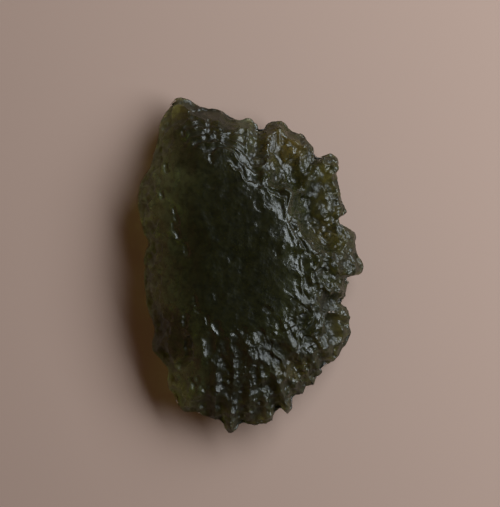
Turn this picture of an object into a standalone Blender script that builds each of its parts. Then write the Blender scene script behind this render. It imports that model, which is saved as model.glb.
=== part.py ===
"""A moldavite: one flat piece of natural bottle-green glass, etched by the soil it lay in.

The stone lies on its flattest side. +X is its thin, ragged side, +Y its blunt tip, +Z up.
The origin is under the middle of its bounding box, on the surface that it rests on.
The form is worked out in millimetres and written to the mesh in metres.
"""

import math

import bmesh
import bpy
import numpy as np
from mathutils import Vector, noise

MM = 0.001

# Driving dimensions, in millimetres
THICKNESS = 6.42
FLAT_CUT = 0.24
POLE = (-1.0, 0.0)
THIN_SIDE_BEARING = math.radians(8.0)

# How the section changes from the thin, ragged side to the thick, round side
RIM_HEIGHT = (1.8, 3.0)
RIM_HALF_THICKNESS = (0.65, 0.60)
TOP_FULLNESS = (0.64, 0.68)
TOP_CROWN = (4.4, 2.9)
UNDER_FULLNESS = (0.62, 0.60)
UNDER_CROWN = (2.0, 2.2)

# The blunt tip has the thin side's section: bearing, reach either way, share
THIN_TIP = (math.radians(108.0), math.radians(26.0), 0.90)

# Elsewhere on the round side only the very rim thins to a lip: bearing, reach either way, share
THIN_LIPS = (
    (math.radians(155.0), math.radians(14.0), 0.45),
    (math.radians(-155.0), math.radians(14.0), 0.30),
)

# The outline seen from above, clockwise, as the points where it turns
BLUNT_TIP = ((-7.8, 13.3), (-7.45, 13.9), (-7.1, 14.65), (-6.2, 15.0), (-5.4, 14.65), (-4.8, 14.25))
UPPER_EDGE = (
    (-4.0, 14.0), (-3.2, 13.85), (-2.3, 13.55), (-1.2, 12.9), (-0.5, 13.0), (0.1, 12.9),
    (0.75, 12.35), (1.5, 12.6), (2.35, 12.85), (3.0, 12.65), (3.5, 12.1), (4.65, 11.5),
    (5.45, 10.55), (5.95, 9.85),
)
SHOULDER = (
    (6.45, 9.75), (6.9, 9.9), (7.4, 9.7), (7.85, 9.15), (7.8, 8.6), (7.65, 8.0), (8.05, 6.5),
    (8.25, 5.65), (8.5, 4.85), (8.15, 4.4), (7.85, 4.0),
)
BEAK = (
    (8.4, 3.5), (9.0, 3.0), (9.3, 2.5), (9.35, 1.75), (9.5, 1.1), (9.85, 0.45), (10.1, -0.15),
    (10.0, -0.7), (9.6, -1.0), (9.05, -1.05), (8.75, -1.3), (8.9, -1.65), (8.55, -2.0),
    (8.35, -3.05), (8.1, -3.55),
)
LOWER_CORNER = (
    (8.45, -3.85), (8.8, -4.3), (8.9, -4.95), (8.85, -5.5), (8.95, -6.05), (8.8, -6.6),
    (8.05, -7.65), (7.75, -8.25), (7.35, -8.65), (6.95, -8.95), (6.15, -10.0), (5.8, -10.35),
    (5.65, -10.8), (5.25, -10.8), (4.95, -11.05), (4.7, -11.6), (4.15, -11.7), (3.9, -12.0),
    (3.9, -12.55), (3.6, -13.1), (3.2, -13.3), (2.8, -13.05), (2.35, -13.15), (2.05, -13.45),
    (1.9, -13.85),
)
FOOT = (
    (1.45, -14.05), (0.75, -14.2), (-0.65, -14.35), (-1.2, -14.55), (-1.65, -14.95), (-2.05, -15.0),
    (-2.35, -14.7), (-2.7, -14.2), (-3.25, -13.85), (-4.75, -13.3), (-5.9, -13.15),
)
LEFT_EDGE = (
    (-6.3, -12.8), (-7.0, -11.8), (-7.25, -11.25), (-7.4, -10.4), (-7.4, -9.5), (-7.65, -8.95),
    (-8.5, -7.95), (-8.75, -7.4), (-8.75, -6.65), (-8.6, -5.95), (-8.65, -5.35), (-9.2, -3.95),
    (-9.5, -2.0), (-9.55, -0.15), (-9.5, 0.7), (-9.2, 2.0), (-9.6, 2.8), (-9.95, 4.65),
    (-10.1, 5.5), (-10.1, 6.2), (-9.75, 7.4), (-9.05, 8.6), (-8.65, 9.95), (-8.3, 11.35),
    (-8.2, 12.3),
)
OUTLINE = BLUNT_TIP + UPPER_EDGE + SHOULDER + BEAK + LOWER_CORNER + FOOT + LEFT_EDGE

# The etching nibbles at the rim, so the stone starts this much larger than its outline
ETCHING_ALLOWANCE = 1.003

# The notches fade inwards with this power of the way out, into the outline averaged over this angle
RAGGED_POWER = 6.0
EVENING_ANGLE = math.radians(24.0)
EVENING_STEPS = 25

# The top falls off to a thin shelf inside these ovals: middles and half widths along X and Y. The
# shelf has this height at X = 0 and falls towards the rim
SHELF_OVALS = (
    ((4.7, 10.3), (4.1, 4.2)),
    ((7.6, 5.2), (4.0, 4.6)),
)
SHELF_EDGE = (1.12, 0.48)
SHELF_HEIGHT = 4.4
SHELF_FALL = 0.16

# The edges of ovals wander by this share of their size, over this distance
WANDER = 0.20
WANDER_SIZE = 2.1

# Scoops in the top: middle, half widths along X and Y, depth
SCOOPS = (
    ((4.9, 5.3), (2.0, 2.0), 0.35),
    ((7.7, -5.8), (1.5, 1.6), 0.50),
    ((-5.4, 1.8), (1.9, 1.9), 0.22),
    ((7.2, 2.4), (1.6, 1.3), 0.30),
    ((4.4, -9.2), (1.5, 1.3), 0.45),
    ((6.6, 7.3), (1.2, 1.3), 0.20),
    ((0.2, 10.2), (1.5, 2.0), 0.30),
    ((-6.2, -7.6), (1.2, 2.0), 0.28),
)

# Furrows that run in from the notches of the rim: rim end, inner end, half width, depth
FURROWS = (
    ((0.8, 12.5), (0.2, 7.2), 0.85, 0.55),
    ((3.4, 12.2), (2.4, 8.6), 0.65, 0.30),
    ((6.0, 9.8), (3.6, 6.6), 0.75, 0.45),
    ((7.9, 4.0), (4.8, 2.6), 0.80, 0.60),
    ((8.8, -1.3), (5.4, -0.6), 0.75, 0.50),
    ((8.1, -3.6), (4.6, -2.2), 0.80, 0.60),
    ((8.9, -5.4), (5.2, -4.6), 0.60, 0.30),
    ((6.9, -9.0), (3.6, -5.6), 0.75, 0.45),
    ((4.9, -11.2), (2.8, -7.2), 0.75, 0.50),
    ((3.9, -12.2), (1.9, -8.2), 0.60, 0.45),
    ((2.5, -13.2), (1.1, -8.4), 0.65, 0.50),
    ((0.8, -14.3), (0.3, -8.8), 0.60, 0.40),
    ((-0.9, -14.5), (-0.6, -7.6), 0.62, 0.50),
    ((-2.6, -14.4), (-2.0, -6.6), 0.62, 0.50),
    ((-4.2, -13.4), (-3.2, -6.2), 0.65, 0.38),
    ((-6.8, -12.0), (-4.8, -7.2), 0.75, 0.34),
    ((-2.0, 13.3), (-2.2, 10.2), 0.70, 0.30),
)

# How far past the rim a furrow still cuts, as a share of its length
FURROW_OVERRUN = 0.3

# Small bowls all over, each near where a step of the golden angle puts it, longer towards the pole,
# and the depth at which they leave the stone's size as it was
BOWL_COUNT = 360
BOWL_HALF_WIDTH = (0.60, 1.15)
BOWL_DEPTH = (0.12, 0.38)
BOWL_LEVEL = 0.11
BOWL_STRETCH = 1.35
BOWL_SCATTER = 0.12
SCATTER_SEED = (1.7, 0.9, 3.1)
SIZE_SEED = (2.3, 7.7, 1.1)
GOLDEN_ANGLE = math.pi * (3.0 - math.sqrt(5.0))

# The top is fully etched inside these ovals and where it is steep, and calm elsewhere
LIVELY_OVALS = (
    ((7.0, 10.0), (6.5, 5.6)),
    ((9.6, 1.0), (5.4, 9.0)),
    ((7.6, -6.5), (5.0, 5.4)),
    ((2.2, -13.4), (6.9, 6.8)),
)
LIVELY_EDGE = (1.15, 0.72)
CALM_TOP_SHARE = 0.30
CALM_UPRIGHT = (0.60, 0.92)

# Under the stone, nothing is etched within the first of these distances from the pole
REST_SPAN = (5.2, 3.6)

# How much of the etching reaches the very rim, how soon it is full, and a furrow's share underneath
RIM_SHARE = 0.25
RIM_SPAN = (-0.1, 0.5)
UNDER_FURROW_SHARE = 0.6

# Half sizes of the smooth pebble whose surface the etching is pressed square to
PEBBLE = (10.1, 15.0, 4.0)

UNEVENNESS = 0.14
UNEVENNESS_SCALE = 4.5

# The block that cuts the flat spot
CUTTER_WIDTH = 40.0
CUTTER_HEIGHT = 4.0

SUBDIVISIONS = 7
FACE_LIMIT = 9400
CURVE_STEPS = 24
SHARP_ANGLE = math.radians(50.0)

GLASS_COLOUR = (0.055, 0.065, 0.018, 1.0)
GLASS_ROUGHNESS = 0.2
GLASS_IOR = 1.49


def clear_scene():
    """Remove every object that the file opened with."""
    for obj in list(bpy.data.objects):
        bpy.data.objects.remove(obj, do_unlink=True)


def smooth_step(span, value):
    """Go from 0 at the start of a span to 1 at its end, level at both."""
    start, end = span
    share = np.clip((value - start) / (end - start), 0.0, 1.0)
    return share * share * (3.0 - 2.0 * share)


def between(pair, share):
    """The value that lies a share of the way from the first of a pair to the second."""
    return pair[0] + (pair[1] - pair[0]) * share


def outline_radius(bearing, out):
    """Distance from the pole to the outline: ragged at the rim and evened out further in."""
    points = np.array(OUTLINE) - np.array(POLE)
    before, after, beyond = np.roll(points, 1, 0), np.roll(points, -1, 0), np.roll(points, -2, 0)
    curve = []
    for share in np.arange(CURVE_STEPS) / CURVE_STEPS:
        square, cube = share * share, share**3
        curve.append(
            0.5 * (
                2.0 * points
                + (after - before) * share
                + (2.0 * before - 5.0 * points + 4.0 * after - beyond) * square
                + (3.0 * points - before - 3.0 * after + beyond) * cube
            )
        )
    curve = np.concatenate(curve)
    turn = np.arctan2(curve[:, 1], curve[:, 0])
    order = np.argsort(turn)
    full_turn = 2.0 * math.pi
    radius = np.hypot(curve[order, 0], curve[order, 1])
    ragged = np.interp(bearing, turn[order], radius, period=full_turn)
    even = np.zeros(len(bearing))
    for offset in np.linspace(-EVENING_ANGLE, EVENING_ANGLE, EVENING_STEPS):
        even += np.interp(bearing + offset, turn[order], radius, period=full_turn) / EVENING_STEPS
    return ETCHING_ALLOWANCE * (even + (ragged - even) * out**RAGGED_POWER)


def left_by(thinning, bearing):
    """What a thinning of the section, or of the rim, leaves of it at each bearing."""
    middle, reach, share = thinning
    turn = np.abs(np.angle(np.exp(1j * (bearing - middle))))
    return 1.0 - share * smooth_step((reach, 0.0), turn)


def stone_form(directions):
    """Warp the points of a unit sphere into the stone before any etching."""
    bearing = np.arctan2(directions[:, 1], directions[:, 0])
    out = np.clip(np.hypot(directions[:, 0], directions[:, 1]), 0.0, 1.0)
    # 0 has the thin side's section, 1 the round side's
    roundness = (0.5 - 0.5 * np.cos(bearing - THIN_SIDE_BEARING)) * left_by(THIN_TIP, bearing)
    rim_height = between(RIM_HEIGHT, roundness)
    half_rim = between(RIM_HALF_THICKNESS, roundness)
    for lip in THIN_LIPS:
        half_rim = half_rim * left_by(lip, bearing)
    rise = THICKNESS - rim_height - half_rim
    drop = rim_height + FLAT_CUT - half_rim
    top = rise * (1.0 - out ** between(TOP_CROWN, roundness)) ** between(TOP_FULLNESS, roundness)
    under = drop * (1.0 - out ** between(UNDER_CROWN, roundness)) ** between(UNDER_FULLNESS, roundness)
    lip = half_rim * np.sqrt(1.0 - out * out)
    height = rim_height + np.where(directions[:, 2] >= 0.0, lip + top, -lip - under)
    reach = out * outline_radius(bearing, out)
    return np.column_stack(
        (POLE[0] + reach * np.cos(bearing), POLE[1] + reach * np.sin(bearing), height)
    )


def noise_at(points, size):
    """Smooth noise between about -1 and 1, with bumps about as far apart as the size."""
    return np.array([noise.noise(Vector(point) / size) for point in points])


def inside_ovals(points, ovals, edge):
    """1 inside any of some ovals seen from above and 0 outside them all, with a wandering edge."""
    inside = np.zeros(len(points))
    wander = WANDER * noise_at(points, WANDER_SIZE)
    for middle, half_widths in ovals:
        across = (points[:, :2] - np.array(middle)) / np.array(half_widths)
        away = np.hypot(across[:, 0], across[:, 1]) + wander
        inside = np.maximum(inside, smooth_step(edge, away))
    return inside


def shelf_depth(points):
    """How much is cut away down to the shelf."""
    above = points[:, 2] - (SHELF_HEIGHT - SHELF_FALL * points[:, 0])
    return inside_ovals(points, SHELF_OVALS, SHELF_EDGE) * np.maximum(above, 0.0)


def scoop_depth(points):
    """Depth of the large scoops at each point, seen from above."""
    deepest = np.zeros(len(points))
    for middle, half_widths, depth in SCOOPS:
        across = (points[:, :2] - np.array(middle)) / np.array(half_widths)
        deepest = np.maximum(deepest, depth * (1.0 - (across**2).sum(axis=1)))
    return deepest


def furrow_depth(points):
    """Depth of the furrows, full at the rim and fading to nothing at their inner ends."""
    deepest = np.zeros(len(points))
    for rim_end, inner_end, half_width, depth in FURROWS:
        start = np.array(rim_end)
        run = np.array(inner_end) - start
        along = ((points[:, :2] - start) @ run) / (run @ run)
        along = np.clip(along, -FURROW_OVERRUN, 1.0)
        away = np.linalg.norm(points[:, :2] - start - along[:, None] * run, axis=1)
        taper = np.sqrt(np.clip(1.0 - along, 0.0, 1.0))
        deepest = np.maximum(deepest, depth * taper * (1.0 - (away / half_width) ** 2))
    return deepest


def bowl_middles():
    """Where the small bowls sit: spread evenly over the unetched stone, then scattered a little."""
    directions = []
    for index in range(BOWL_COUNT):
        level = 1.0 - 2.0 * (index + 0.5) / BOWL_COUNT
        ring = math.sqrt(1.0 - level * level)
        turn = index * GOLDEN_ANGLE
        even = Vector((ring * math.cos(turn), ring * math.sin(turn), level))
        seed = Vector(SCATTER_SEED)
        scatter = noise.noise_vector(Vector((seed.x * index, seed.y * index, seed.z)))
        scatter.z = 0.0
        directions.append((even + BOWL_SCATTER * scatter).normalized())
    return stone_form(np.array(directions))


def bowl_depth(points, normals):
    """Depth of the small bowls that meet in crests, shallower on the calm side of the top."""
    deepest = np.zeros(len(points))
    for index, middle in enumerate(bowl_middles()):
        seed = Vector(SIZE_SEED)
        size = 0.5 + 0.5 * noise.noise(Vector((seed.x * index, seed.y, seed.z * index)))
        outward = np.array((middle[0] - POLE[0], middle[1] - POLE[1], 0.0))
        outward /= np.linalg.norm(outward)
        away = points - middle
        along = away @ outward
        across_squared = (away**2).sum(axis=1) - along**2
        spread_squared = (along / BOWL_STRETCH) ** 2 + across_squared
        spread_squared /= between(BOWL_HALF_WIDTH, size) ** 2
        deepest = np.maximum(deepest, between(BOWL_DEPTH, size) * (1.0 - spread_squared))
    calm = smooth_step(CALM_UPRIGHT, normals[:, 2])
    calm = calm * (1.0 - inside_ovals(points, LIVELY_OVALS, LIVELY_EDGE))
    return (deepest - BOWL_LEVEL) * (1.0 - (1.0 - CALM_TOP_SHARE) * calm)


def etch(points, directions):
    """Press scoops, furrows and bowls in, square to a smooth pebble of the stone's size."""
    normals = directions / np.array(PEBBLE)
    normals /= np.linalg.norm(normals, axis=1)[:, None]
    upward = smooth_step(RIM_SPAN, normals[:, 2])
    downward = smooth_step(RIM_SPAN, -normals[:, 2])
    inland = between((RIM_SHARE, 1.0), np.maximum(upward, downward))
    carved = shelf_depth(points) + scoop_depth(points)
    depth = carved * upward + bowl_depth(points, normals) * inland
    depth = depth + furrow_depth(points) * np.maximum(upward, UNDER_FURROW_SHARE * downward)
    from_pole = np.hypot(points[:, 0] - POLE[0], points[:, 1] - POLE[1])
    resting = smooth_step(REST_SPAN, from_pole) * (normals[:, 2] < 0.0)
    depth = depth * (1.0 - resting) + UNEVENNESS * noise_at(points, UNEVENNESS_SCALE) * inland
    return points - normals * depth[:, None]


def glass_material():
    """Dark bottle-green natural glass."""
    material = bpy.data.materials.new("moldavite glass")
    material.use_nodes = True
    shader = material.node_tree.nodes["Principled BSDF"]
    shader.inputs["Base Color"].default_value = GLASS_COLOUR
    shader.inputs["Roughness"].default_value = GLASS_ROUGHNESS
    shader.inputs["Metallic"].default_value = 0.0
    shader.inputs["IOR"].default_value = GLASS_IOR
    return material


def make_stone():
    """Build the stone's mesh, etch it, thin its faces out and cut its flat spot."""
    mesh = bpy.data.meshes.new("moldavite")
    shape = bmesh.new()
    bmesh.ops.create_icosphere(shape, subdivisions=SUBDIVISIONS, radius=1.0)
    directions = np.array([vert.co for vert in shape.verts])
    directions /= np.linalg.norm(directions, axis=1)[:, None]
    etched = etch(stone_form(directions), directions)
    low, high = etched.min(axis=0), etched.max(axis=0)
    middle = (low + high) / 2.0
    middle[2] = 0.0
    for vert, point in zip(shape.verts, etched - middle):
        vert.co = Vector(point) * MM
    face_count = len(shape.faces)
    shape.to_mesh(mesh)
    shape.free()
    stone = bpy.data.objects.new("moldavite", mesh)
    bpy.context.collection.objects.link(stone)
    mesh.materials.append(glass_material())
    thin_out = stone.modifiers.new("fewer faces", "DECIMATE")
    thin_out.decimate_type = "COLLAPSE"
    thin_out.ratio = FACE_LIMIT / face_count
    return stone


def cut_flat_spot(stone):
    """Grind the underside off level where the stone rests."""
    mesh = bpy.data.meshes.new("flat spot cutter")
    shape = bmesh.new()
    bmesh.ops.create_cube(shape, size=1.0)
    size = Vector((CUTTER_WIDTH, CUTTER_WIDTH, CUTTER_HEIGHT)) * MM
    bmesh.ops.scale(shape, vec=size, verts=shape.verts)
    bmesh.ops.translate(shape, vec=(0.0, 0.0, -size.z / 2.0), verts=shape.verts)
    shape.to_mesh(mesh)
    shape.free()
    cutter = bpy.data.objects.new("flat_spot_cutter", mesh)
    bpy.context.collection.objects.link(cutter)
    cutter.hide_render = True
    cutter.display_type = "WIRE"
    cut = stone.modifiers.new("flat spot", "BOOLEAN")
    cut.operation = "DIFFERENCE"
    cut.solver = "EXACT"
    cut.object = cutter


def main():
    clear_scene()
    stone = make_stone()
    cut_flat_spot(stone)
    stone.data.shade_smooth()
    stone.data.set_sharp_from_angle(angle=SHARP_ANGLE)


main()
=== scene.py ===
# %% [markdown]
# # A piece of moldavite on a sheet of paper
#
# Moldavite is natural glass. Rain and soil acids have eaten its skin into bowls and furrows, and light
# that comes through its thin edges turns yellow-green.
#
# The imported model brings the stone's form at its real size. This lesson lays a finer skin over that
# form, fills it with green glass and lights it as a window would.

# %% Load the frame
import math

import bmesh
import bpy
import numpy as np
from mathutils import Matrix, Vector, noise
from mathutils.bvhtree import BVHTree


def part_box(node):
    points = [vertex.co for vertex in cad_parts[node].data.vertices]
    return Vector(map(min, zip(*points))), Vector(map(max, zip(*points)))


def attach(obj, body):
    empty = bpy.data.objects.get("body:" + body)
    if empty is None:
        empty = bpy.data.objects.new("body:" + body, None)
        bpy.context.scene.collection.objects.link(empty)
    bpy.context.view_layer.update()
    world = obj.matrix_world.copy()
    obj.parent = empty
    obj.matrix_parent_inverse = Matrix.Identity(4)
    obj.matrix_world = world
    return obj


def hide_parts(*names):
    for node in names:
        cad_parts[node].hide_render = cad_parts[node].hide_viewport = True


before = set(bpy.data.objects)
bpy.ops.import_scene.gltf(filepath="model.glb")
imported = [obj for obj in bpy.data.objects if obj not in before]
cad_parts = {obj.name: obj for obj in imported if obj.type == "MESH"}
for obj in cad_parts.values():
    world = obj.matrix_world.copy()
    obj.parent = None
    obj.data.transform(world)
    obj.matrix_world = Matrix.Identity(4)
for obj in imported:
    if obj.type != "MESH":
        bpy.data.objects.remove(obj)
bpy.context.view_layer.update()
scene = bpy.context.scene
MM = 0.001

low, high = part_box("moldavite")
print("the packed stone measures", [round(b - a, 4) for a, b in zip(low, high)], "m")

# %% [markdown]
# ## The camera
#
# The photograph looks straight down. A long lens from above gives the same flat view, and with it a
# place in the picture can be turned into a place on the stone: a ray from the camera through that
# pixel hits the glass there. The length of the stone in the picture sets the scale, where the etched
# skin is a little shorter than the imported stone.

# %% Camera
PICTURE = (500, 507)
STONE_MIDDLE_PX = (250.85, 264.7)
STONE_LENGTH_PX = 336.8
SKIN_SHARE = 0.997
STONE_LENGTH = (high[1] - low[1]) * SKIN_SHARE
RIM_HEIGHT = 2.4 * MM
LENS = 180.0
SENSOR = 36.0
NEAREST_SEEN = 0.005

pixel = STONE_LENGTH / STONE_LENGTH_PX
stone_middle = Vector(((low[0] + high[0]) / 2.0, (low[1] + high[1]) / 2.0, 0.0))
aim = stone_middle + pixel * Vector(
    (PICTURE[0] / 2.0 - STONE_MIDDLE_PX[0], STONE_MIDDLE_PX[1] - PICTURE[1] / 2.0, 0.0)
)
camera_height = RIM_HEIGHT + LENS / SENSOR * pixel * PICTURE[1]

camera_data = bpy.data.cameras.new("camera")
camera_data.lens = LENS
camera_data.sensor_width = SENSOR
camera_data.clip_start = NEAREST_SEEN
camera = bpy.data.objects.new("camera", camera_data)
camera.location = aim + Vector((0.0, 0.0, camera_height))
scene.collection.objects.link(camera)
scene.camera = camera


def ray_through(place_px):
    """The camera's position, and the direction in which it sees a place in the picture."""
    across = (place_px[0] - PICTURE[0] / 2.0) * pixel
    along = (PICTURE[1] / 2.0 - place_px[1]) * pixel
    return camera.location, Vector((across, along, RIM_HEIGHT - camera_height)).normalized()


print("one pixel is", round(pixel / MM, 4), "mm at the rim, camera height", round(camera_height, 4), "m")

# %% [markdown]
# ## A shorthand for shader nodes
#
# Shaders are easier to read as sums than as wires. So an output socket is wrapped in a small class
# whose operators add Math nodes, and one method adds any other node with its settings and inputs.

# %% Shader shorthand
# The colours of a Mix node share their names with its numbers, so their sockets go by number
MIX_FIRST, MIX_SECOND, MIX_RESULT = 6, 7, 2


class Value:
    """One output socket, with Python's operators standing for Math nodes."""

    def __init__(self, nodes, socket):
        self.nodes = nodes
        self.socket = socket

    def maths(self, operation, other, swap=False):
        first, second = (other, self) if swap else (self, other)
        return self.nodes.add("ShaderNodeMath", {"operation": operation}, {0: first, 1: second})

    def __add__(self, other):
        return self.maths("ADD", other)

    def __radd__(self, other):
        return self.maths("ADD", other)

    def __sub__(self, other):
        return self.maths("SUBTRACT", other)

    def __rsub__(self, other):
        return self.maths("SUBTRACT", other, True)

    def __mul__(self, other):
        return self.maths("MULTIPLY", other)

    def __rmul__(self, other):
        return self.maths("MULTIPLY", other)


class Nodes:
    """A node tree, with one method that adds any node."""

    def __init__(self, owner):
        owner.use_nodes = True
        self.tree = owner.node_tree

    def add(self, kind, settings=None, inputs=None, output=0):
        node = self.tree.nodes.new(kind)
        for name, value in (settings or {}).items():
            setattr(node, name, value)
        for socket, value in (inputs or {}).items():
            self.feed(node.inputs[socket], value)
        return Value(self, node.outputs[output])

    def feed(self, socket, value):
        if isinstance(value, Value):
            self.tree.links.new(value.socket, socket)
        else:
            socket.default_value = value

    def mix(self, share, first, second):
        """A colour that goes from the first at share 0 to the second at share 1."""
        inputs = {"Factor": share, MIX_FIRST: first, MIX_SECOND: second}
        return self.add("ShaderNodeMix", {"data_type": "RGBA"}, inputs, MIX_RESULT)


print("shader values can now be added, taken away and multiplied")

# %% [markdown]
# ## The paper
#
# The stone lies on a sheet of plain brownish paper. One flat face is enough for it, as none of it stands
# up. It is only staged, so it is no part of the model. It lies a little under the stone, because two
# faces in the same place would flicker.

# %% Floor
FLOOR_DROP = 0.02 * MM
FLOOR_HALF = 0.6
PAPER = (0.472, 0.337, 0.276, 1.0)
PAPER_GLOSS = 0.1


def plain_material(name, colour, gloss):
    material = bpy.data.materials.new(name)
    shader = Nodes(material).tree.nodes["Principled BSDF"]
    shader.inputs["Base Color"].default_value = colour
    shader.inputs["Roughness"].default_value = 1.0
    shader.inputs["Specular IOR Level"].default_value = gloss
    return material


def make_floor():
    shape = bmesh.new()
    bmesh.ops.create_grid(shape, x_segments=1, y_segments=1, size=FLOOR_HALF)
    bmesh.ops.translate(shape, vec=(0.0, 0.0, -FLOOR_DROP), verts=shape.verts)
    mesh = bpy.data.meshes.new("floor")
    shape.to_mesh(mesh)
    shape.free()
    mesh.materials.append(plain_material("paper", PAPER, PAPER_GLOSS))
    floor = bpy.data.objects.new("floor", mesh)
    scene.collection.objects.link(floor)


make_floor()
print("the floor is", round(FLOOR_DROP / MM, 3), "mm under the stone")

# %% [markdown]
# ## The window
#
# A wide window on the right is the main light. It gives one long soft shadow and a cool sheen, so it is
# an area lamp, where a sun lamp would cut the shadow sharp. It is near the stone, so the paper grows
# darker towards the left.

# %% Window
WINDOW_BEARING = math.radians(25.0)
WINDOW_ELEVATION = math.radians(42.0)
WINDOW_DISTANCE = 0.18
WINDOW_WIDE = 0.26
WINDOW_TALL = 0.10
WINDOW_POWER = 0.53
WINDOW_COLOUR = (0.86, 0.94, 1.0)

to_window = Vector(
    (
        math.cos(WINDOW_ELEVATION) * math.cos(WINDOW_BEARING),
        math.cos(WINDOW_ELEVATION) * math.sin(WINDOW_BEARING),
        math.sin(WINDOW_ELEVATION),
    )
)


def make_window():
    lamp = bpy.data.lights.new("window", "AREA")
    lamp.shape = "RECTANGLE"
    lamp.size = WINDOW_WIDE
    lamp.size_y = WINDOW_TALL
    lamp.energy = WINDOW_POWER
    lamp.color = WINDOW_COLOUR
    window = bpy.data.objects.new("window", lamp)
    window.location = to_window * WINDOW_DISTANCE
    window.rotation_euler = (-to_window).to_track_quat("-Z", "Y").to_euler()
    scene.collection.objects.link(window)
    return window


window = make_window()
print("window at", [round(v, 3) for v in window.location], "m")

# %% [markdown]
# ## The room
#
# The shadow is reddish brown, because a warm wall on the left throws some light into it. A lamp could
# do that, but it would make a second sheen, so the world's own colour changes from right to left.
# Overhead, where the camera is, it is nearly dark, and a level piece of glass mirrors almost nothing.

# %% Room
ROOM_RIGHT = (0.038, 0.022, 0.014, 1.0)
ROOM_LEFT = (0.330, 0.185, 0.105, 1.0)
ROOM_ABOVE = (0.012, 0.009, 0.006, 1.0)
ROOM_MIDDLE = 0.5
ACROSS_SHARE = 1.1


def light_room():
    world = bpy.data.worlds.new("room")
    nodes = Nodes(world)
    direction = nodes.add("ShaderNodeTexCoord", output="Generated")
    across = nodes.add("ShaderNodeSeparateXYZ", {}, {"Vector": direction}, "X")
    height = nodes.add("ShaderNodeSeparateXYZ", {}, {"Vector": direction}, "Z")
    walls = nodes.mix(ROOM_MIDDLE - ACROSS_SHARE * across, ROOM_RIGHT, ROOM_LEFT)
    nodes.feed(nodes.tree.nodes["Background"].inputs["Color"], nodes.mix(height, walls, ROOM_ABOVE))
    scene.world = world


light_room()
scene.view_settings.view_transform = "Standard"
print("the room is lit from the left wall's", ROOM_LEFT[0], "to", ROOM_ABOVE[0], "overhead")

# %% [markdown]
# ## A finer skin for the stone
#
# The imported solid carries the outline, the ledge and the large furrows in flat triangles. Its copy is
# merged, wrapped in small even faces by a voxel remesh, and smoothed, which melts the flat facets
# into curves. The underside is hidden, so its faces are made fewer and the rest keeps the detail.
# Subdividing the facets would be quicker, but it leaves long thin faces that can't hold small hollows.
# Etching comes after that, because a remesh would blunt it.

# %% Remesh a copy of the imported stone
MERGE_DISTANCE = 0.001 * MM
VOXEL = 0.102 * MM
SMOOTH_PASSES = 2
SMOOTH_FACTOR = 0.5
UNDERSIDE_SLOPE = -0.45
TRIANGLE_LIMIT = 196000


def as_mesh(thing):
    """The mesh of an object with its modifiers applied."""
    graph = bpy.context.evaluated_depsgraph_get()
    return bpy.data.meshes.new_from_object(thing.evaluated_get(graph))


def merged_copy(node):
    shape = bmesh.new()
    shape.from_mesh(node.data)
    bmesh.ops.remove_doubles(shape, verts=shape.verts, dist=MERGE_DISTANCE)
    mesh = bpy.data.meshes.new("stone")
    shape.to_mesh(mesh)
    shape.free()
    return mesh


def wrapped(mesh):
    """A skin of small even faces around a mesh."""
    rough = bpy.data.objects.new("rough stone", mesh)
    scene.collection.objects.link(rough)
    wrap = rough.modifiers.new("wrap", "REMESH")
    wrap.mode = "VOXEL"
    wrap.voxel_size = VOXEL
    fine = as_mesh(rough)
    bpy.data.objects.remove(rough)
    return fine


def thinned_underneath(mesh):
    """The same mesh with fewer faces on its underside, under the limit in all."""
    dense = bpy.data.objects.new("dense stone", mesh)
    scene.collection.objects.link(dense)
    group = dense.vertex_groups.new(name="underside")
    under = [vert.index for vert in mesh.vertices if vert.normal.z < UNDERSIDE_SLOPE]
    group.add(under, 1.0, "REPLACE")
    fewer = dense.modifiers.new("fewer", "DECIMATE")
    fewer.vertex_group = group.name
    fewer.use_collapse_triangulate = True
    fewer.ratio = min(1.0, TRIANGLE_LIMIT / (2 * len(mesh.polygons)))
    light = as_mesh(dense)
    bpy.data.objects.remove(dense)
    return light


def smoothed(mesh):
    shape = bmesh.new()
    shape.from_mesh(mesh)
    for _ in range(SMOOTH_PASSES):
        bmesh.ops.smooth_vert(
            shape, verts=shape.verts, factor=SMOOTH_FACTOR,
            use_axis_x=True, use_axis_y=True, use_axis_z=True,
        )
    shape.to_mesh(mesh)
    shape.free()
    return mesh


stone_mesh = thinned_underneath(smoothed(wrapped(merged_copy(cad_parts["moldavite"]))))
print("the fine skin has", len(stone_mesh.vertices), "points and", len(stone_mesh.polygons), "faces")
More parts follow.
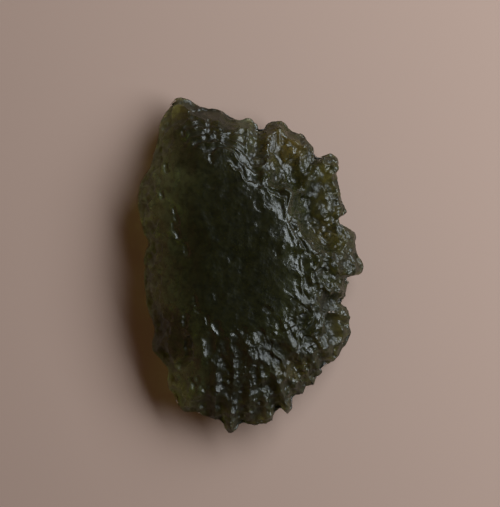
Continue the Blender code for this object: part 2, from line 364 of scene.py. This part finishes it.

# %% [markdown]
# ## Etching
#
# Each bowl is a shallow round hollow. Where two bowls meet, the deeper one wins, and that leaves the
# sharp crests that make etched glass sparkle. A bright bead in the photograph is the wall of a hollow
# that mirrors the window into the camera. So each one is placed where its bead is, and its wall
# is turned to face halfway between the window and the camera. Small cells fill the rest. They are
# deep on the lively parts and faint on the calm ones, and they break long walls into beads. Noise alone
# would be less work, but its beads would be anywhere.

# %% Where the bright beads are
# Each lit wall's start and end in the picture, the half width of its hollow in millimetres, and how
# far it turns to the window, as a share
FOOT_WALLS = (
    ((213, 327), (217, 334), 0.43, 1.0), ((239, 332), (242, 337), 0.45, 0.8),
    ((256, 335), (258, 338), 0.47, 0.9), ((268, 333), (268, 340), 0.35, 0.6),
    ((233, 338), (231, 346), 0.50, 0.8), ((204, 343), (206, 354), 0.58, 0.9),
    ((209, 337), (210, 341), 0.38, 0.6), ((186, 342), (184, 350), 0.50, 0.7),
    ((187, 353), (184, 360), 0.45, 0.7), ((183, 361), (177, 366), 0.50, 1.0),
    ((222, 345), (219, 352), 0.53, 0.9), ((217, 354), (214, 360), 0.53, 0.9),
    ((219, 365), (223, 375), 0.60, 1.0), ((218, 378), (216, 389), 0.60, 1.0),
    ((234, 350), (238, 358), 0.53, 1.0), ((241, 351), (240, 362), 0.47, 0.8),
    ((236, 364), (236, 374), 0.53, 1.0), ((236, 378), (235, 389), 0.55, 1.0),
    ((261, 347), (268, 353), 0.62, 0.8), ((263, 357), (267, 363), 0.58, 1.0),
    ((273, 352), (277, 358), 0.35, 0.7), ((279, 358), (284, 364), 0.38, 0.8),
    ((275, 365), (280, 372), 0.55, 1.0), ((251, 370), (255, 382), 0.43, 0.7),
    ((189, 381), (191, 387), 0.33, 0.7), ((196, 381), (197, 387), 0.33, 0.7),
    ((171, 376), (171, 382), 0.50, 0.5), ((227, 385), (229, 391), 0.50, 1.0),
    ((226, 394), (229, 403), 0.68, 1.0), ((229, 405), (231, 411), 0.53, 1.0),
    ((238, 405), (241, 417), 0.62, 1.0), ((243, 411), (245, 419), 0.50, 0.8),
    ((235, 420), (231, 425), 0.55, 0.9), ((241, 391), (242, 399), 0.43, 0.7),
    ((258, 395), (259, 401), 0.62, 0.8), ((260, 404), (260, 405), 0.43, 1.0),
    ((268, 391), (272, 394), 0.43, 0.7), ((282, 405), (287, 403), 0.50, 0.8),
    ((289, 406), (291, 409), 0.38, 0.7),
)
LOWER_RIGHT_WALLS = (
    ((265, 310), (267, 313), 0.36, 0.9), ((268, 318), (270, 324), 0.36, 0.7),
    ((286, 309), (286, 310), 0.26, 0.5), ((301, 317), (302, 323), 0.38, 0.8),
    ((277, 326), (279, 329), 0.34, 0.8), ((287, 328), (288, 332), 0.32, 0.7),
    ((293, 327), (296, 332), 0.38, 0.8), ((321, 326), (325, 320), 0.24, 0.8),
    ((328, 330), (329, 337), 0.36, 1.0), ((325, 338), (327, 346), 0.40, 1.0),
    ((318, 335), (320, 338), 0.30, 0.7), ((297, 295), (301, 300), 0.42, 1.0),
    ((302, 300), (307, 305), 0.46, 1.0), ((314, 301), (320, 310), 0.36, 0.8),
    ((325, 294), (327, 301), 0.44, 1.0), ((299, 344), (302, 353), 0.38, 0.6),
    ((304, 355), (308, 363), 0.42, 0.6), ((313, 367), (314, 373), 0.34, 0.8),
    ((321, 358), (323, 363), 0.32, 0.8), ((327, 357), (332, 354), 0.30, 0.7),
    ((335, 350), (334, 357), 0.38, 0.7), ((316, 345), (318, 350), 0.32, 0.7),
    ((293, 381), (297, 388), 0.38, 0.7), ((299, 385), (301, 389), 0.30, 0.6),
    ((335, 312), (339, 338), 1.10, 0.7),
)
BEAK_WALLS = (
    ((296, 216), (296, 225), 0.50, 1.0), ((310, 220), (316, 223), 0.50, 1.0),
    ((293, 230), (298, 239), 0.60, 1.0), ((300, 232), (301, 240), 0.40, 0.9),
    ((305, 243), (313, 243), 0.36, 0.7), ((321, 259), (328, 264), 0.46, 1.0),
    ((325, 266), (328, 269), 0.40, 0.9), ((339, 261), (352, 271), 0.50, 1.0),
    ((342, 258), (350, 262), 0.34, 0.8), ((332, 252), (338, 250), 0.22, 1.0),
    ((339, 237), (346, 236), 0.38, 0.8), ((327, 274), (328, 285), 0.46, 0.9),
    ((333, 272), (336, 280), 0.34, 0.7), ((332, 289), (336, 293), 0.42, 0.7),
    ((316, 279), (317, 285), 0.34, 0.8), ((306, 283), (308, 288), 0.36, 0.9),
    ((300, 262), (301, 267), 0.30, 0.8), ((303, 255), (304, 258), 0.32, 0.7),
    ((275, 249), (275, 257), 0.30, 0.6), ((285, 246), (284, 251), 0.30, 0.7),
    ((264, 236), (263, 239), 0.26, 0.5),
)
SHOULDER_WALLS = (
    ((256, 145), (251, 153), 0.50, 1.0), ((249, 153), (245, 160), 0.50, 1.0),
    ((253, 161), (253, 166), 0.36, 0.8), ((254, 168), (257, 171), 0.38, 0.8),
    ((252, 176), (255, 182), 0.48, 1.0), ((246, 130), (251, 140), 0.44, 0.6),
    ((279, 145), (276, 150), 0.36, 0.8), ((281, 154), (276, 162), 0.48, 1.0),
    ((273, 164), (275, 168), 0.36, 0.9), ((289, 168), (293, 161), 0.42, 1.0),
    ((296, 160), (299, 156), 0.38, 0.9), ((283, 170), (282, 177), 0.40, 1.0),
    ((281, 181), (286, 185), 0.46, 1.0), ((289, 179), (289, 182), 0.34, 0.9),
    ((304, 160), (311, 157), 0.40, 0.9), ((301, 150), (306, 153), 0.38, 0.7),
    ((302, 139), (304, 143), 0.40, 0.7), ((297, 140), (297, 147), 0.36, 0.6),
    ((320, 171), (323, 177), 0.42, 1.0), ((331, 161), (338, 164), 0.40, 0.9),
    ((328, 170), (331, 168), 0.30, 0.8), ((303, 181), (303, 189), 0.24, 0.7),
    ((299, 196), (303, 200), 0.38, 0.8), ((336, 211), (333, 219), 0.40, 0.7),
    ((317, 177), (321, 188), 0.70, 0.7), ((334, 186), (337, 199), 0.65, 0.6),
    ((310, 203), (324, 205), 0.50, 0.8),
)
CALM_WALLS = (
    ((209, 119), (209, 128), 0.34, 0.6), ((216, 129), (217, 136), 0.32, 0.6),
    ((204, 131), (205, 135), 0.26, 0.5), ((182, 131), (182, 135), 0.22, 0.9),
    ((209, 155), (211, 161), 0.24, 0.7), ((164, 165), (165, 171), 0.28, 0.9),
    ((159, 193), (160, 198), 0.24, 0.9), ((172, 208), (173, 212), 0.24, 0.9),
    ((174, 216), (175, 224), 0.30, 0.9), ((171, 224), (172, 230), 0.30, 0.9),
    ((173, 231), (176, 237), 0.30, 1.0), ((183, 247), (184, 254), 0.34, 0.7),
    ((152, 246), (153, 251), 0.30, 0.9), ((213, 294), (216, 299), 0.24, 0.7),
    ((193, 298), (193, 303), 0.26, 0.7), ((195, 307), (196, 312), 0.28, 0.9),
    ((183, 316), (182, 325), 0.38, 0.9), ((204, 317), (206, 325), 0.30, 0.7),
    ((230, 258), (231, 262), 0.22, 0.7), ((255, 203), (257, 210), 0.34, 0.7),
)
LIT_WALLS = FOOT_WALLS + LOWER_RIGHT_WALLS + BEAK_WALLS + SHOULDER_WALLS + CALM_WALLS
print("placed by eye:", len(LIT_WALLS), "lit walls")

# %% [markdown]
# ## Tools for etching
#
# A Displace modifier could press noise into the skin, but it can't aim a hollow at the window. So a
# depth is worked out here for every point and pressed in at the end. Each point is first moved a little
# by noise when its distance to a hollow is measured, which makes the hollows crooked.

# %% Etching tools
# Noise vectors start from the clock unless a seed is set, so with one the stone is the same each run
ETCHING_SEED = 11
CROOK = 0.16 * MM
CROOK_SIZE = 0.75 * MM
FINE_CROOK = 0.10 * MM
FINE_CROOK_SIZE = 0.32 * MM
# How far around a place the skin's normals are averaged
AROUND = 0.45 * MM

noise.seed_set(ETCHING_SEED)
stone_shape = bmesh.new()
stone_shape.from_mesh(stone_mesh)
stone_shape.normal_update()
points = np.array([vert.co for vert in stone_shape.verts])
normals = np.array([vert.normal for vert in stone_shape.verts])
surface = BVHTree.FromBMesh(stone_shape)


def noise_vectors(size):
    return np.array([noise.noise_vector(Vector(point) / size) for point in points])


def noise_values(size):
    return np.array([noise.noise(Vector(point) / size) for point in points])


def ramp(start, end, value):
    """Go from 0 at start to 1 at end, level at both."""
    share = np.clip((value - start) / (end - start), 0.0, 1.0)
    return share * share * (3.0 - 2.0 * share)


def seen_at(place_px):
    """The point of the stone that the camera sees at a place in the picture, and its mean normal."""
    start, towards = ray_through(place_px)
    hit = surface.ray_cast(start, towards)[0]
    if hit is None:
        sight = start + towards * ((RIM_HEIGHT - start.z) / towards.z)
        hit = surface.find_nearest(sight)[0]
    around = sum((found[1] for found in surface.find_nearest_range(hit, AROUND)), Vector())
    return np.array(hit), around.normalized()


def nearness(start, end, half_width):
    """1 on the line between two points, 0 at the half width from it, and less beyond."""
    run = end - start
    along = np.clip((crooked - start) @ run / max(run @ run, MM**4), 0.0, 1.0)
    away = np.linalg.norm(crooked - start - along[:, None] * run, axis=1)
    return 1.0 - (away / half_width) ** 2


crooked = points + CROOK * noise_vectors(CROOK_SIZE) + FINE_CROOK * noise_vectors(FINE_CROOK_SIZE)
print("the fine skin is etched at", len(points), "points")

# %% [markdown]
# ## Hollows for the bright beads
#
# A hollow lies on the window's side of its lit wall, and it is as deep as the wall has to turn. Where
# the stone faces the window already, almost nothing is taken away. The few widest hollows are smooth
# patches on the real stone, and the others are beaded.

# %% Hollows placed one by one
# Where the wall is, as a share of the way from the hollow's middle to its border
WALL_SHARE = 0.75
# How much steeper or flatter a hollow makes its wall, at least and at most, as a slope
LEAST_TURN = 0.12
MOST_TURN = 1.05
BEADED_REACH = 0.9
# Hollows with a larger half width than this are the smooth patches
SMOOTH_FROM = 0.6 * MM

lit_normal = (to_window + Vector((0.0, 0.0, 1.0))).normalized()
lit_slope = Vector((lit_normal.x, lit_normal.y, 0.0)) / lit_normal.z
placed_depth = np.zeros(len(points))
beaded = np.zeros(len(points))
smooth_patch = np.zeros(len(points))
for start_px, end_px, half_width_mm, share in LIT_WALLS:
    start, start_normal = seen_at(start_px)
    end, end_normal = seen_at(end_px)
    facing = (start_normal + end_normal).normalized()
    turn = share * lit_slope - Vector((facing.x, facing.y, 0.0)) / facing.z
    half_width = half_width_mm * MM
    shift = np.array(turn.normalized()) * half_width * WALL_SHARE
    depth = min(max(turn.length, LEAST_TURN), MOST_TURN) * half_width / (2.0 * WALL_SHARE)
    placed_depth = np.maximum(placed_depth, depth * nearness(start + shift, end + shift, half_width))
    around_it = np.clip(nearness(start, end, BEADED_REACH * half_width), 0.0, 1.0)
    if half_width > SMOOTH_FROM:
        smooth_patch = np.maximum(smooth_patch, around_it)
    else:
        beaded = np.maximum(beaded, share * around_it)
print("the deepest placed hollow is", round(placed_depth.max() / MM, 3), "mm")

# %% [markdown]
# ## Calm and lively places
#
# A real piece isn't etched evenly. A map of that could be painted by hand, but a few ovals laid over the
# stone, with an edge that wanders, are easier to read and to move. They say where the flank is lively,
# where it is quiet between its beads, and where the skin gets painted shade because thick glass looks
# dark. The calm rim outside those gets a painted glow.

# %% Where the stone is lively
# Ovals seen from above: middle and half widths along X and Y, in millimetres
LIVELY_OVALS = (
    ((7.0, 10.0), (6.5, 5.6)),
    ((9.6, 1.0), (5.8, 9.2)),
    ((7.6, -6.5), (5.2, 5.5)),
    ((2.2, -13.4), (6.6, 6.8)),
)
QUIET_OVALS = (
    ((2.7, 6.2), (1.9, 2.2)),
    ((3.7, 0.2), (2.0, 3.6)),
    ((2.5, -4.5), (1.7, 1.9)),
    ((4.9, -5.5), (1.8, 2.0)),
    ((-3.3, 11.9), (2.8, 1.9)),
    ((-0.4, 9.5), (1.5, 2.2)),
    ((2.6, 10.2), (1.7, 2.5)),
    ((6.3, 2.4), (1.3, 1.3)),
    ((4.2, -9.4), (1.0, 0.9)),
)
# The skin in these ovals gets painted shade, as thick glass looks dark
THICK_OVALS = (
    ((-1.5, 1.0), (6.2, 11.5)),
    ((-4.0, 11.8), (3.3, 5.0)),
    ((-7.0, -6.2), (2.4, 2.6)),
)
# The foot gets painted shade too, although it is lively
FOOT_OVALS = (
    ((-1.8, -9.0), (3.6, 5.5)),
)
# Where an oval's share starts and where it is whole, with 1 for the oval's own border
LIVELY_EDGE = (1.26, 0.94)
QUIET_EDGE = (1.25, 0.75)
DEEP_EDGE = (1.27, 0.45)
WANDER = 0.14
WANDER_SIZE = 1.6 * MM
# How far the skin faces up where it starts to be lively, and where it is wholly so
STEEP = (0.90, 0.60)


def inside_ovals(ovals, edge, wander):
    """1 inside any of some ovals, 0 outside them all, with an edge that wanders."""
    inside = np.zeros(len(points))
    for middle, half_widths in ovals:
        across = (points[:, :2] / MM - np.array(middle)) / np.array(half_widths)
        inside = np.maximum(inside, ramp(*edge, np.hypot(across[:, 0], across[:, 1]) + wander))
    return inside


wander = WANDER * noise_values(WANDER_SIZE)
flank = inside_ovals(LIVELY_OVALS, LIVELY_EDGE, wander)
lively = np.maximum(flank, ramp(*STEEP, normals[:, 2]))
quiet = inside_ovals(QUIET_OVALS, QUIET_EDGE, wander)
thick = inside_ovals(THICK_OVALS, DEEP_EDGE, 0.0)
# Painted shade where the glass is thick, and on the foot
deep = np.maximum(thick * (1.0 - flank), inside_ovals(FOOT_OVALS, DEEP_EDGE, 0.0))
# Painted glow: the calm rim outside the thick ovals gets a lighter tint, as light coming through it would
# give
painted_rim_glow = (1.0 - thick) * (1.0 - flank)
print("lively share of the skin:", round(float(lively.mean()), 2))

# %% [markdown]
# ## Small cells
#
# Between the placed hollows the skin is full of small ones. Voronoi noise gives the distance to the
# middle of the nearest cell, which makes round hollows with sharp crests. Three sizes lie over one
# another. The largest is fanned, long towards the rim and narrow across, as the furrows are. On the
# flank the crests rise as well, so the etching doesn't wear the stone down, and slow swells break up
# its sheen.

# %% Small cells
# The place that the furrows run away from, and how far from it a fanned cell has its own width
POLE = Vector((-1.0 * MM, 0.0, 3.0 * MM))
FAN_RADIUS = 7.0 * MM
RAY_STRETCH = 1.6
CELL_FILL = 1.3
LONG_CELL = 1.05 * MM
LONG_DEPTH = 0.26 * MM
EVEN_CELL = 0.70 * MM
EVEN_DEPTH = 0.19 * MM
FINE_CELL = 0.40 * MM
FINE_DEPTH = 0.07 * MM
SWELL = 1.25 * MM
SWELL_DEPTH = 0.34 * MM
# How deep in its cells the old skin stays, on the flank, and the share of that on other steep parts
CELL_LEVEL = 0.42
RIM_LEVEL = 0.3
# The share of the cells' depth on calm parts and on beads, and what some places take away from it
CALM_SHARE = 0.16
BEADED_SHARE = 0.40
BEADED_LESS = 0.7
QUIET_LESS = 0.7
SMOOTH_LESS = 0.7
QUIET_SWELLS_LESS = 0.6
DEPTH_SPREAD = 0.55
DEPTH_SPREAD_SIZE = 1.3 * MM


def cell_hollow(place):
    """1 in the middle of a cell, falling to 0 towards its border."""
    return 1.0 - min(noise.voronoi(place)[0][0] * CELL_FILL, 1.0) ** 2


def fanned(point, cell, stretch=RAY_STRETCH):
    """The same place in a space where cells are long towards the rim and narrow across."""
    away = point - POLE
    outwards = max(math.hypot(away.x, away.y), MM**2)
    turn = math.atan2(away.y, away.x)
    return Vector((turn * FAN_RADIUS / cell, outwards / (cell * stretch), away.z / (cell * stretch)))


long_cells = np.array([cell_hollow(fanned(Vector(point), LONG_CELL)) for point in points])
even_cells = np.array([cell_hollow(Vector(point) / EVEN_CELL) for point in points])
fine_cells = np.array([cell_hollow(Vector(point) / FINE_CELL) for point in points])
swells = np.array([noise.noise(fanned(Vector(point), SWELL)) for point in points])

liveliness = CALM_SHARE + (1.0 - CALM_SHARE) * lively
liveliness = liveliness * (1.0 - SMOOTH_LESS * smooth_patch)
liveliness = liveliness * (1.0 - BEADED_LESS * beaded) * (1.0 - QUIET_LESS * quiet)
liveliness = np.maximum(liveliness, BEADED_SHARE * beaded)

level = CELL_LEVEL * np.maximum(flank, RIM_LEVEL * lively)
spread = 1.0 + DEPTH_SPREAD * noise_values(DEPTH_SPREAD_SIZE)
cell_depth = LONG_DEPTH * (long_cells - level) * lively
cell_depth += EVEN_DEPTH * (even_cells - level) + FINE_DEPTH * (fine_cells - level)
cell_depth = cell_depth * liveliness * spread
cell_depth += SWELL_DEPTH * flank * (1.0 - np.maximum(beaded, QUIET_SWELLS_LESS * quiet)) * swells
print("cells up to", round(cell_depth.max() / MM, 3), "mm deep")

# %% [markdown]
# ## Ledges
#
# In its quiet places the flank steps down in small ledges. A smooth slope there would mirror the window
# as one broad band. Level treads mirror the dark room overhead instead, and the risers are too steep.
# Cutting the steps as loops of edges would need a path for each one. It is simpler to work out how far
# each point is above the last tread.

# %% Ledges
STEP = 0.40 * MM
# How far the steps wander up and down and how crooked they are, and how far up its step a tread lies,
# all as shares of a step
STEP_WANDER = 0.6
STEP_WANDER_SIZE = 1.8 * MM
STEP_CROOK = 0.4
TREAD_LEVEL = 0.4
# How steep a riser is, and how narrow and wide it can be as a share of its step
RISER_SLOPE = 1.5
RISER_SHARES = (0.04, 0.6)
SLOPE_PASSES = 40
LEAST_FACING_UP = 0.3
# Slopes between which the ledges fade in, and out again
LEDGES_IN = (0.15, 0.3)
LEDGES_OUT = (0.9, 0.7)
BEADED_LEDGES_LESS = 0.5

edges = np.array([[vert.index for vert in edge.verts] for edge in stone_shape.edges])
neighbours = np.bincount(edges.ravel(), minlength=len(points))


def evened(values, passes):
    """Share a value with the neighbouring points, over and over."""
    for _ in range(passes):
        shared = np.bincount(edges[:, 0], values[edges[:, 1]], len(points))
        shared += np.bincount(edges[:, 1], values[edges[:, 0]], len(points))
        values = (values + shared) / (1 + neighbours)
    return values


steep = 1.0 / np.maximum(normals[:, 2], LEAST_FACING_UP)
slope = np.hypot(evened(normals[:, 0] * steep, SLOPE_PASSES), evened(normals[:, 1] * steep, SLOPE_PASSES))
riser = np.clip(slope / RISER_SLOPE, *RISER_SHARES)
steps_up = points[:, 2] / STEP + STEP_WANDER * noise_values(STEP_WANDER_SIZE)
steps_up += STEP_CROOK * noise_values(CROOK_SIZE)
part = steps_up - np.floor(steps_up)
tread = np.where(part < riser, 1.0 - (1.0 - riser) / riser * part, part)
ledged = quiet * (1.0 - BEADED_LEDGES_LESS * beaded) * ramp(*LEDGES_IN, slope) * ramp(*LEDGES_OUT, slope)
cell_depth += STEP * (tread - TREAD_LEVEL) * ledged * normals[:, 2]
print("share of the skin with ledges:", round(float(ledged.mean()), 3))

# %% [markdown]
# ## Press the etching in
#
# Each point goes down along its normal by the depth that was worked out for it. Upright sides lose
# little, as that would eat the outline, and the resting spot loses nothing. The points are kept inside
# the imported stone's box, so the real size holds.

# %% Press the etching in
# Heights between which the etching fades in above the resting spot
RESTING = (0.10 * MM, 0.60 * MM)
UPRIGHT_TO_LEVEL = (0.0, 0.45)
# The share of a hollow's depth that an upright side still gets
RIM_CARE = 0.2

levelness = ramp(*UPRIGHT_TO_LEVEL, np.abs(normals[:, 2]))
total_depth = placed_depth + cell_depth
risen = np.minimum(total_depth, 0.0) * levelness
sunken = np.maximum(total_depth, 0.0) * (RIM_CARE + (1.0 - RIM_CARE) * levelness)
total_depth = (risen + sunken) * ramp(*RESTING, points[:, 2])
for vert, depth in zip(stone_shape.verts, total_depth):
    vert.co -= vert.normal * depth
    vert.co = [min(max(value, least), most) for value, least, most in zip(vert.co, low, high)]
stone_shape.to_mesh(stone_mesh)
stone_shape.free()
stone_mesh.shade_smooth()
print("etched up to", round(total_depth.max() / MM, 3), "mm deep")

# %% [markdown]
# ## What the glass has to know
#
# The look of the glass follows its shape: the hollows are darker, the underside gets painted shade, the
# thin rim gets a painted glow, thick glass gets painted shade, and fine ridges run down the flank. A
# material can't find that out by itself. So numbers for it are stored on every point of the skin, and for
# the ridges the fanned place as well.

# %% Keep what the material needs
# Ovals seen from above, as the lively ones, where the skin turns amber: partly the glass's own tone,
# partly painted glow of light through thin glass
GOLDEN_OVALS = (
    ((2.7, 10.4), (2.3, 1.9)),
    ((3.9, -9.1), (1.4, 1.2)),
    ((6.2, 3.0), (1.3, 1.3)),
    ((-5.8, -9.2), (1.7, 1.0)),
    ((-1.9, -14.3), (0.7, 0.4)),
)
GOLDEN_EDGE = (1.3, 0.5)
GOLDEN_WANDER = 0.35
GOLDEN_WANDER_SIZE = 0.9 * MM
RIDGE = 0.26 * MM
RIDGE_STRETCH = 3.0
DARKEST_HOLLOW_DEPTH = 0.24 * MM
# How far the skin faces up where the underside starts, and where it is wholly so
DOWNWARD = (0.1, -0.5)


def store(name, values):
    """Keep one number for each point of the skin, for the material to read."""
    stone_mesh.attributes.new(name, "FLOAT", "POINT").data.foreach_set("value", values.astype(np.float32))


def store_places(name, places):
    """Keep one place for each point of the skin, for the material to read."""
    places = np.array(places, dtype=np.float32)
    stone_mesh.attributes.new(name, "FLOAT_VECTOR", "POINT").data.foreach_set("vector", places.ravel())


store("golden", inside_ovals(GOLDEN_OVALS, GOLDEN_EDGE, GOLDEN_WANDER * noise_values(GOLDEN_WANDER_SIZE)))
store("rough", lively * (1.0 - QUIET_LESS * quiet))
store("ridged", flank * (1.0 - QUIET_LESS * quiet))
store("flank", flank)
store("painted_rim_glow", painted_rim_glow)
# Where the tint gets painted shade for thick glass and the foot
store("deep", deep)
store("hollow", np.clip(total_depth / DARKEST_HOLLOW_DEPTH, 0.0, 1.0))
# Where the skin faces down, which gets painted shade in its tint
store("downward", ramp(*DOWNWARD, normals[:, 2]))
store_places("fan", [fanned(Vector(point), RIDGE, RIDGE_STRETCH) for point in points])
print("the skin keeps", [name for name in stone_mesh.attributes.keys() if not name.startswith(".")])

# %% [markdown]
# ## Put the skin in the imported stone's place
#
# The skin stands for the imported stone, which is then hidden. It rides on the stone's only body, and its
# slot says what it is made of.

# %% The stone's skin
stone = bpy.data.objects.new("etched_stone", stone_mesh)
scene.collection.objects.link(stone)
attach(stone, "root")
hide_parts("moldavite")
print("etched skin of", len(stone_mesh.polygons), "faces")

# %% [markdown]
# ## The skin's tint
#
# Light takes on the tint of the skin where it goes in and out of the glass. Most of the skin is green,
# with dark veins and ridges, and amber patches that are partly painted glow of light through thin glass.
# The lighter rim is a painted glow, the thick middle and the foot get painted shade, the hollows are
# darker, and the underside gets painted shade. A painted image could show that too, but noise stays
# sharp however near one looks.

# %% Tint of the skin
GREEN_SKIN = (0.42, 0.43, 0.13, 1.0)
# Amber partly stands for painted glow of light through thin glass
AMBER_SKIN = (0.90, 0.72, 0.22, 1.0)
# Painted glow of the calm rim
RIM_GLOW_SKIN = (0.92, 1.0, 0.46, 1.0)
# Painted shade for the thick middle and the foot
THICK_SHADE_SKIN = (0.23, 0.225, 0.075, 1.0)
DARK_SKIN = (0.10, 0.105, 0.04, 1.0)
# Painted shade for the underside, and the colour that the hollows are darkened towards
HOLLOW_AND_UNDER_SHADE_SKIN = (0.12, 0.12, 0.06, 1.0)
VEIN = 0.55 * MM
VEIN_DETAIL = 4.0
VEIN_ROUGHNESS = 0.65
GOLDEN_LEAST = 0.3
GOLDEN_BY_PATCH = 1.2
RIDGE_SHARE = 0.6
STREAK_CONTRAST = 3.0
STREAK_START = 1.0
RIM_STREAK_START = 1.7
RIM_STREAKS_LESS = 0.6
# How much the hollows are darkened, and how much painted shade the underside gets, more on the flank
HOLLOW_DARKENING = 0.55
UNDER_SHADE = 0.1
UNDER_FLANK_SHADE = 0.7


def stored(nodes, name, output="Fac"):
    """What the skin keeps under a name."""
    return nodes.add("ShaderNodeAttribute", {"attribute_name": name}, output=output)


def noise_of(nodes, place, size, detail, roughness=0.5):
    """Soft noise with lumps of about a size."""
    inputs = {"Vector": place, "Scale": 1.0 / size, "Detail": detail, "Roughness": roughness}
    return nodes.add("ShaderNodeTexNoise", {}, inputs)


def skin_tint(nodes, place, patches, ridges, hollow):
    painted_rim_glow = stored(nodes, "painted_rim_glow")
    flank = stored(nodes, "flank")
    golden = stored(nodes, "golden") * (GOLDEN_LEAST + GOLDEN_BY_PATCH * patches)
    veins = noise_of(nodes, place, VEIN, VEIN_DETAIL, VEIN_ROUGHNESS)
    streaks = veins + RIDGE_SHARE * flank * (ridges - veins)
    streaks = STREAK_CONTRAST * streaks - STREAK_START
    streaks = streaks + painted_rim_glow * (STREAK_CONTRAST * veins - RIM_STREAK_START)
    # Painted shade underneath, more on the flank, and darker hollows
    hollow_dark_and_under_shade = HOLLOW_DARKENING * hollow + stored(nodes, "downward") * (UNDER_SHADE + UNDER_FLANK_SHADE * flank)

    # Amber patches, partly painted glow of light through thin glass
    tint = nodes.mix(golden, GREEN_SKIN, AMBER_SKIN)
    # Painted glow on the calm rim
    tint = nodes.mix(painted_rim_glow, tint, RIM_GLOW_SKIN)
    # Painted shade on thick glass and on the foot
    tint = nodes.mix(stored(nodes, "deep"), tint, THICK_SHADE_SKIN)
    tint = nodes.mix(streaks * (1.0 - RIM_STREAKS_LESS * painted_rim_glow), tint, DARK_SKIN)
    return nodes.mix(hollow_dark_and_under_shade, tint, HOLLOW_AND_UNDER_SHADE_SKIN)


print("six tints, and veins of", round(VEIN / MM, 2), "mm")

# %% [markdown]
# ## The skin's fine relief
#
# Pits, specks and ridges finer than the faces of the skin can't be pressed in, so a Bump node tilts the
# light there. It is faint on the calm parts. Too much of it would turn the whole stone grey, as each
# point would then mirror a little of the window.

# %% Relief of the skin
PIT = 0.34 * MM
PIT_DEPTH = 0.30 * PIT
SPECK = 0.17 * MM
SPECK_DEPTH = 0.25 * SPECK
GRAIN = 0.07 * MM
GRAIN_DEPTH = 0.2 * GRAIN
GRAIN_DETAIL = 2.0
RIDGE_DEPTH = 0.40 * RIDGE
RELIEF_LEAST = 0.2
RELIEF_BY_ROUGH = 0.30


def cells_of(nodes, place, size):
    """The distance to the middle of the nearest of some cells of a size."""
    return nodes.add("ShaderNodeTexVoronoi", {}, {"Vector": place, "Scale": 1.0 / size})


def skin_relief(nodes, place, ridges, rough):
    pits = cells_of(nodes, place, PIT)
    specks = cells_of(nodes, place, SPECK)
    grain = noise_of(nodes, place, GRAIN, GRAIN_DETAIL)
    relief = PIT_DEPTH * pits * pits + SPECK_DEPTH * specks * specks + GRAIN_DEPTH * grain
    height = relief * (RELIEF_LEAST + RELIEF_BY_ROUGH * rough)
    height = height + RIDGE_DEPTH * ridges * stored(nodes, "ridged")
    return nodes.add("ShaderNodeBump", {}, {"Height": height, "Strength": 1.0, "Distance": 1.0})


print("the finest relief is", round(GRAIN / MM, 2), "mm wide")

# %% [markdown]
# ## Green glass
#
# The glass is see-through, but takes out light with depth: most of the blue, less of the red, least of
# the green. So thin edges glow yellow-green and the thick middle is nearly black. A dark green surface
# would look alike from far away, but its thin edges wouldn't let light through. The etched skin is
# satin rather than polished.

# %% Glass
GLASS_IOR = 1.49
GLASS_CLEARNESS = 0.94
ABSORB_COLOUR = (0.44, 0.475, 0.03, 1.0)
ABSORB_DENSITY = 360.0
PATCH = 3.0 * MM
PATCH_DETAIL = 4.0
RIDGE_DETAIL = 3.0
SATIN = 0.18
SATIN_BY_PATCH = 0.10
SATIN_BY_ROUGH = 0.06
SATIN_BY_HOLLOW = 0.12


def make_glass():
    material = bpy.data.materials.new("natural glass")
    nodes = Nodes(material)
    shader = nodes.tree.nodes["Principled BSDF"]
    shader.inputs["Transmission Weight"].default_value = GLASS_CLEARNESS
    shader.inputs["IOR"].default_value = GLASS_IOR

    place = nodes.add("ShaderNodeTexCoord", output="Object")
    patches = noise_of(nodes, place, PATCH, PATCH_DETAIL)
    ridges = noise_of(nodes, stored(nodes, "fan", "Vector"), 1.0, RIDGE_DETAIL)
    rough = stored(nodes, "rough")
    hollow = stored(nodes, "hollow")
    satin = SATIN + SATIN_BY_PATCH * patches + SATIN_BY_ROUGH * rough + SATIN_BY_HOLLOW * hollow
    nodes.feed(shader.inputs["Base Color"], skin_tint(nodes, place, patches, ridges, hollow))
    nodes.feed(shader.inputs["Roughness"], satin)
    nodes.feed(shader.inputs["Normal"], skin_relief(nodes, place, ridges, rough))

    absorb = {"Color": ABSORB_COLOUR, "Density": ABSORB_DENSITY}
    absorb = nodes.add("ShaderNodeVolumeAbsorption", {}, absorb)
    nodes.feed(nodes.tree.nodes["Material Output"].inputs["Volume"], absorb)
    return material


stone_mesh.materials.clear()
stone_mesh.materials.append(make_glass())
print("filled with glass of index", GLASS_IOR)
